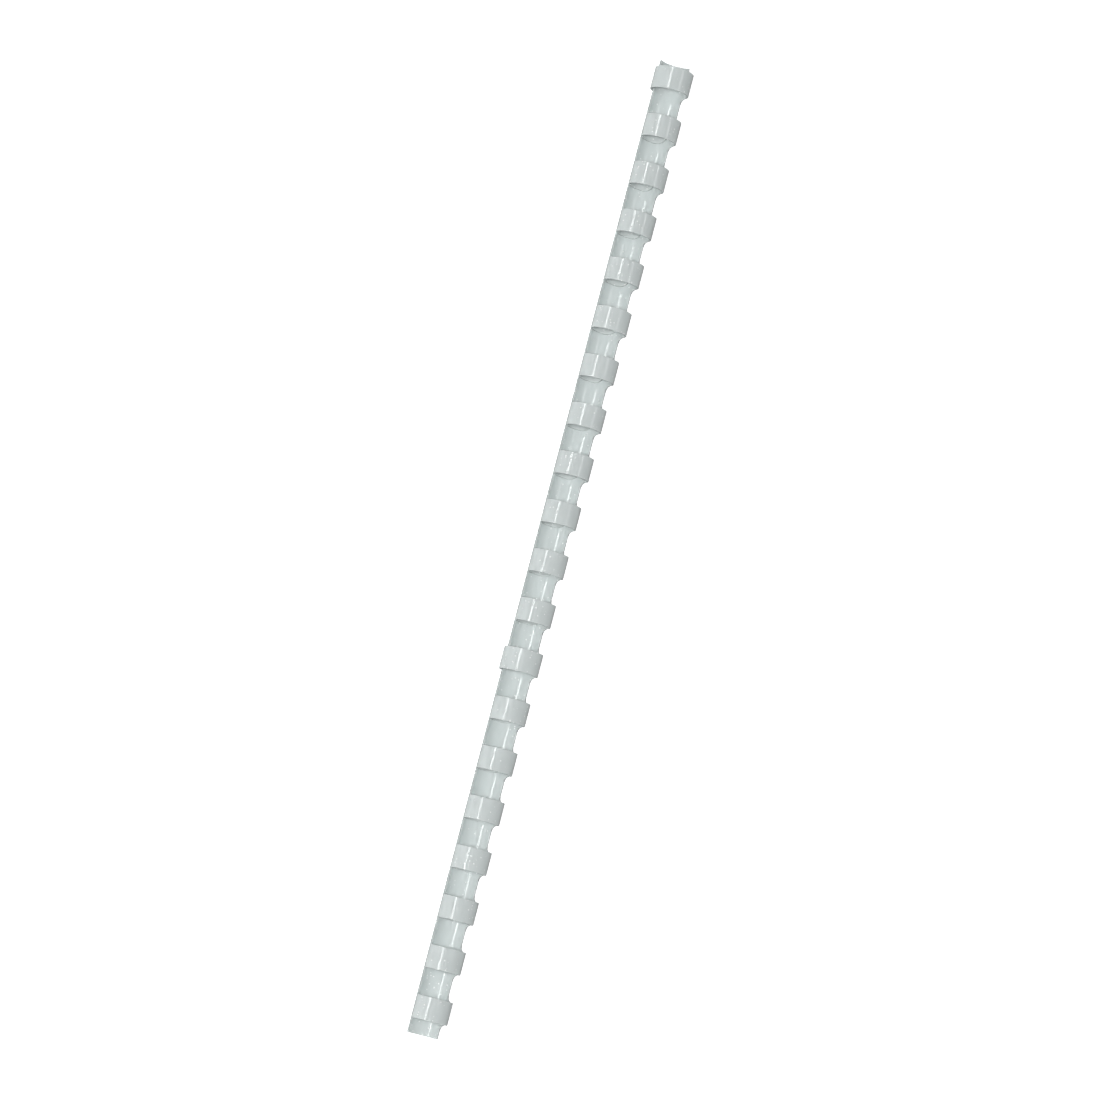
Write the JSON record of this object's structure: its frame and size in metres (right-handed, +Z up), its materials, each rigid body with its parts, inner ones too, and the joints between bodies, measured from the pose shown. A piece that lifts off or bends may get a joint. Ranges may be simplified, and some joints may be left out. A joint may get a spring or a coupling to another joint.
{
  "type": "plastic binding comb",
  "caption": "Light grey PVC comb binding spine: a long curled back strip with a row of springy fingers whose round tips tuck in behind its lip.",
  "frame": {"origin": "on the ground plane under the middle of the comb's box", "axes": "+X along the comb from finger 1 to finger 20, +Z up from the back of the spine, finger roots on +Y and the lip on -Y"},
  "size_m": [0.285, 0.011, 0.0113],
  "materials": {
    "pvc_sheet": "smooth semi-gloss rigid PVC sheet"
  },
  "bodies": {
    "spine": {"spine": "pvc_sheet"},
    "finger_01_base": {"finger_01_base": "pvc_sheet"},
    "finger_01_tip": {"finger_01_tip": "pvc_sheet"},
    "finger_02_base": {"finger_02_base": "pvc_sheet"},
    "finger_02_tip": {"finger_02_tip": "pvc_sheet"},
    "finger_03_base": {"finger_03_base": "pvc_sheet"},
    "finger_03_tip": {"finger_03_tip": "pvc_sheet"},
    "finger_04_base": {"finger_04_base": "pvc_sheet"},
    "finger_04_tip": {"finger_04_tip": "pvc_sheet"},
    "finger_05_base": {"finger_05_base": "pvc_sheet"},
    "finger_05_tip": {"finger_05_tip": "pvc_sheet"},
    "finger_06_base": {"finger_06_base": "pvc_sheet"},
    "finger_06_tip": {"finger_06_tip": "pvc_sheet"},
    "finger_07_base": {"finger_07_base": "pvc_sheet"},
    "finger_07_tip": {"finger_07_tip": "pvc_sheet"},
    "finger_08_base": {"finger_08_base": "pvc_sheet"},
    "finger_08_tip": {"finger_08_tip": "pvc_sheet"},
    "finger_09_base": {"finger_09_base": "pvc_sheet"},
    "finger_09_tip": {"finger_09_tip": "pvc_sheet"},
    "finger_10_base": {"finger_10_base": "pvc_sheet"},
    "finger_10_tip": {"finger_10_tip": "pvc_sheet"},
    "finger_11_base": {"finger_11_base": "pvc_sheet"},
    "finger_11_tip": {"finger_11_tip": "pvc_sheet"},
    "finger_12_base": {"finger_12_base": "pvc_sheet"},
    "finger_12_tip": {"finger_12_tip": "pvc_sheet"},
    "finger_13_base": {"finger_13_base": "pvc_sheet"},
    "finger_13_tip": {"finger_13_tip": "pvc_sheet"},
    "finger_14_base": {"finger_14_base": "pvc_sheet"},
    "finger_14_tip": {"finger_14_tip": "pvc_sheet"},
    "finger_15_base": {"finger_15_base": "pvc_sheet"},
    "finger_15_tip": {"finger_15_tip": "pvc_sheet"},
    "finger_16_base": {"finger_16_base": "pvc_sheet"},
    "finger_16_tip": {"finger_16_tip": "pvc_sheet"},
    "finger_17_base": {"finger_17_base": "pvc_sheet"},
    "finger_17_tip": {"finger_17_tip": "pvc_sheet"},
    "finger_18_base": {"finger_18_base": "pvc_sheet"},
    "finger_18_tip": {"finger_18_tip": "pvc_sheet"},
    "finger_19_base": {"finger_19_base": "pvc_sheet"},
    "finger_19_tip": {"finger_19_tip": "pvc_sheet"},
    "finger_20_base": {"finger_20_base": "pvc_sheet"},
    "finger_20_tip": {"finger_20_tip": "pvc_sheet"}
  },
  "joints": [
    {"name": "finger_01_open", "type": "hinge", "parent": "spine", "child": "finger_01_base", "pos_m": [-0.13656, 0.00524, 0.00508], "axis": [-1, 0, 0], "range_deg": [0, 60], "stiffness_Nm_per_rad": 0.014},
    {"name": "finger_01_uncurl", "type": "hinge", "parent": "finger_01_base", "child": "finger_01_tip", "pos_m": [-0.13656, -0.00443, 0.00833], "axis": [-1, 0, 0], "range_deg": [0, 90]},
    {"name": "finger_02_open", "type": "hinge", "parent": "spine", "child": "finger_02_base", "pos_m": [-0.12227, 0.00524, 0.00508], "axis": [-1, 0, 0], "range_deg": [0, 80], "stiffness_Nm_per_rad": 0.014},
    {"name": "finger_02_uncurl", "type": "hinge", "parent": "finger_02_base", "child": "finger_02_tip", "pos_m": [-0.12227, -0.00419, 0.00867], "axis": [-1, 0, 0], "range_deg": [0, 64]},
    {"name": "finger_03_open", "type": "hinge", "parent": "spine", "child": "finger_03_base", "pos_m": [-0.10798, 0.00524, 0.00508], "axis": [-1, 0, 0], "range_deg": [0, 80], "stiffness_Nm_per_rad": 0.014},
    {"name": "finger_03_uncurl", "type": "hinge", "parent": "finger_03_base", "child": "finger_03_tip", "pos_m": [-0.10798, -0.00419, 0.00867], "axis": [-1, 0, 0], "range_deg": [0, 64]},
    {"name": "finger_04_open", "type": "hinge", "parent": "spine", "child": "finger_04_base", "pos_m": [-0.09369, 0.00524, 0.00508], "axis": [-1, 0, 0], "range_deg": [0, 80], "stiffness_Nm_per_rad": 0.014},
    {"name": "finger_04_uncurl", "type": "hinge", "parent": "finger_04_base", "child": "finger_04_tip", "pos_m": [-0.09369, -0.00419, 0.00867], "axis": [-1, 0, 0], "range_deg": [0, 64]},
    {"name": "finger_05_open", "type": "hinge", "parent": "spine", "child": "finger_05_base", "pos_m": [-0.07941, 0.00524, 0.00508], "axis": [-1, 0, 0], "range_deg": [0, 80], "stiffness_Nm_per_rad": 0.014},
    {"name": "finger_05_uncurl", "type": "hinge", "parent": "finger_05_base", "child": "finger_05_tip", "pos_m": [-0.07941, -0.00419, 0.00867], "axis": [-1, 0, 0], "range_deg": [0, 64]},
    {"name": "finger_06_open", "type": "hinge", "parent": "spine", "child": "finger_06_base", "pos_m": [-0.06512, 0.00524, 0.00508], "axis": [-1, 0, 0], "range_deg": [0, 80], "stiffness_Nm_per_rad": 0.014},
    {"name": "finger_06_uncurl", "type": "hinge", "parent": "finger_06_base", "child": "finger_06_tip", "pos_m": [-0.06512, -0.00419, 0.00867], "axis": [-1, 0, 0], "range_deg": [0, 64]},
    {"name": "finger_07_open", "type": "hinge", "parent": "spine", "child": "finger_07_base", "pos_m": [-0.05083, 0.00524, 0.00508], "axis": [-1, 0, 0], "range_deg": [0, 80], "stiffness_Nm_per_rad": 0.014},
    {"name": "finger_07_uncurl", "type": "hinge", "parent": "finger_07_base", "child": "finger_07_tip", "pos_m": [-0.05083, -0.00419, 0.00867], "axis": [-1, 0, 0], "range_deg": [0, 64]},
    {"name": "finger_08_open", "type": "hinge", "parent": "spine", "child": "finger_08_base", "pos_m": [-0.03654, 0.00524, 0.00508], "axis": [-1, 0, 0], "range_deg": [0, 80], "stiffness_Nm_per_rad": 0.014},
    {"name": "finger_08_uncurl", "type": "hinge", "parent": "finger_08_base", "child": "finger_08_tip", "pos_m": [-0.03654, -0.00419, 0.00867], "axis": [-1, 0, 0], "range_deg": [0, 64]},
    {"name": "finger_09_open", "type": "hinge", "parent": "spine", "child": "finger_09_base", "pos_m": [-0.02226, 0.00524, 0.00508], "axis": [-1, 0, 0], "range_deg": [0, 80], "stiffness_Nm_per_rad": 0.014},
    {"name": "finger_09_uncurl", "type": "hinge", "parent": "finger_09_base", "child": "finger_09_tip", "pos_m": [-0.02226, -0.00419, 0.00867], "axis": [-1, 0, 0], "range_deg": [0, 64]},
    {"name": "finger_10_open", "type": "hinge", "parent": "spine", "child": "finger_10_base", "pos_m": [-0.00797, 0.00524, 0.00508], "axis": [-1, 0, 0], "range_deg": [0, 80], "stiffness_Nm_per_rad": 0.014},
    {"name": "finger_10_uncurl", "type": "hinge", "parent": "finger_10_base", "child": "finger_10_tip", "pos_m": [-0.00797, -0.00419, 0.00867], "axis": [-1, 0, 0], "range_deg": [0, 64]},
    {"name": "finger_11_open", "type": "hinge", "parent": "spine", "child": "finger_11_base", "pos_m": [0.00632, 0.00524, 0.00508], "axis": [-1, 0, 0], "range_deg": [0, 80], "stiffness_Nm_per_rad": 0.014},
    {"name": "finger_11_uncurl", "type": "hinge", "parent": "finger_11_base", "child": "finger_11_tip", "pos_m": [0.00632, -0.00419, 0.00867], "axis": [-1, 0, 0], "range_deg": [0, 64]},
    {"name": "finger_12_open", "type": "hinge", "parent": "spine", "child": "finger_12_base", "pos_m": [0.02061, 0.00524, 0.00508], "axis": [-1, 0, 0], "range_deg": [0, 80], "stiffness_Nm_per_rad": 0.014},
    {"name": "finger_12_uncurl", "type": "hinge", "parent": "finger_12_base", "child": "finger_12_tip", "pos_m": [0.02061, -0.00419, 0.00867], "axis": [-1, 0, 0], "range_deg": [0, 64]},
    {"name": "finger_13_open", "type": "hinge", "parent": "spine", "child": "finger_13_base", "pos_m": [0.03489, 0.00524, 0.00508], "axis": [-1, 0, 0], "range_deg": [0, 60], "stiffness_Nm_per_rad": 0.014},
    {"name": "finger_13_uncurl", "type": "hinge", "parent": "finger_13_base", "child": "finger_13_tip", "pos_m": [0.03489, -0.00443, 0.00833], "axis": [-1, 0, 0], "range_deg": [0, 90]},
    {"name": "finger_14_open", "type": "hinge", "parent": "spine", "child": "finger_14_base", "pos_m": [0.04918, 0.00524, 0.00508], "axis": [-1, 0, 0], "range_deg": [0, 80], "stiffness_Nm_per_rad": 0.014},
    {"name": "finger_14_uncurl", "type": "hinge", "parent": "finger_14_base", "child": "finger_14_tip", "pos_m": [0.04918, -0.00419, 0.00867], "axis": [-1, 0, 0], "range_deg": [0, 64]},
    {"name": "finger_15_open", "type": "hinge", "parent": "spine", "child": "finger_15_base", "pos_m": [0.06347, 0.00524, 0.00508], "axis": [-1, 0, 0], "range_deg": [0, 80], "stiffness_Nm_per_rad": 0.014},
    {"name": "finger_15_uncurl", "type": "hinge", "parent": "finger_15_base", "child": "finger_15_tip", "pos_m": [0.06347, -0.00419, 0.00867], "axis": [-1, 0, 0], "range_deg": [0, 64]},
    {"name": "finger_16_open", "type": "hinge", "parent": "spine", "child": "finger_16_base", "pos_m": [0.07776, 0.00524, 0.00508], "axis": [-1, 0, 0], "range_deg": [0, 80], "stiffness_Nm_per_rad": 0.014},
    {"name": "finger_16_uncurl", "type": "hinge", "parent": "finger_16_base", "child": "finger_16_tip", "pos_m": [0.07776, -0.00419, 0.00867], "axis": [-1, 0, 0], "range_deg": [0, 64]},
    {"name": "finger_17_open", "type": "hinge", "parent": "spine", "child": "finger_17_base", "pos_m": [0.09204, 0.00524, 0.00508], "axis": [-1, 0, 0], "range_deg": [0, 80], "stiffness_Nm_per_rad": 0.014},
    {"name": "finger_17_uncurl", "type": "hinge", "parent": "finger_17_base", "child": "finger_17_tip", "pos_m": [0.09204, -0.00419, 0.00867], "axis": [-1, 0, 0], "range_deg": [0, 64]},
    {"name": "finger_18_open", "type": "hinge", "parent": "spine", "child": "finger_18_base", "pos_m": [0.10633, 0.00524, 0.00508], "axis": [-1, 0, 0], "range_deg": [0, 80], "stiffness_Nm_per_rad": 0.014},
    {"name": "finger_18_uncurl", "type": "hinge", "parent": "finger_18_base", "child": "finger_18_tip", "pos_m": [0.10633, -0.00419, 0.00867], "axis": [-1, 0, 0], "range_deg": [0, 64]},
    {"name": "finger_19_open", "type": "hinge", "parent": "spine", "child": "finger_19_base", "pos_m": [0.12062, 0.00524, 0.00508], "axis": [-1, 0, 0], "range_deg": [0, 80], "stiffness_Nm_per_rad": 0.014},
    {"name": "finger_19_uncurl", "type": "hinge", "parent": "finger_19_base", "child": "finger_19_tip", "pos_m": [0.12062, -0.00419, 0.00867], "axis": [-1, 0, 0], "range_deg": [0, 64]},
    {"name": "finger_20_open", "type": "hinge", "parent": "spine", "child": "finger_20_base", "pos_m": [0.13491, 0.00524, 0.00508], "axis": [-1, 0, 0], "range_deg": [0, 80], "stiffness_Nm_per_rad": 0.014},
    {"name": "finger_20_uncurl", "type": "hinge", "parent": "finger_20_base", "child": "finger_20_tip", "pos_m": [0.13491, -0.00419, 0.00867], "axis": [-1, 0, 0], "range_deg": [0, 64]}
  ],
  "couplings": [
    {"joint": "finger_01_uncurl", "follows": "finger_01_open", "ratio": 1.5},
    {"joint": "finger_02_uncurl", "follows": "finger_02_open", "ratio": 0.8},
    {"joint": "finger_03_uncurl", "follows": "finger_03_open", "ratio": 0.8},
    {"joint": "finger_04_uncurl", "follows": "finger_04_open", "ratio": 0.8},
    {"joint": "finger_05_uncurl", "follows": "finger_05_open", "ratio": 0.8},
    {"joint": "finger_06_uncurl", "follows": "finger_06_open", "ratio": 0.8},
    {"joint": "finger_07_uncurl", "follows": "finger_07_open", "ratio": 0.8},
    {"joint": "finger_08_uncurl", "follows": "finger_08_open", "ratio": 0.8},
    {"joint": "finger_09_uncurl", "follows": "finger_09_open", "ratio": 0.8},
    {"joint": "finger_10_uncurl", "follows": "finger_10_open", "ratio": 0.8},
    {"joint": "finger_11_uncurl", "follows": "finger_11_open", "ratio": 0.8},
    {"joint": "finger_12_uncurl", "follows": "finger_12_open", "ratio": 0.8},
    {"joint": "finger_13_uncurl", "follows": "finger_13_open", "ratio": 1.5},
    {"joint": "finger_14_uncurl", "follows": "finger_14_open", "ratio": 0.8},
    {"joint": "finger_15_uncurl", "follows": "finger_15_open", "ratio": 0.8},
    {"joint": "finger_16_uncurl", "follows": "finger_16_open", "ratio": 0.8},
    {"joint": "finger_17_uncurl", "follows": "finger_17_open", "ratio": 0.8},
    {"joint": "finger_18_uncurl", "follows": "finger_18_open", "ratio": 0.8},
    {"joint": "finger_19_uncurl", "follows": "finger_19_open", "ratio": 0.8},
    {"joint": "finger_20_uncurl", "follows": "finger_20_open", "ratio": 0.8}
  ]
}
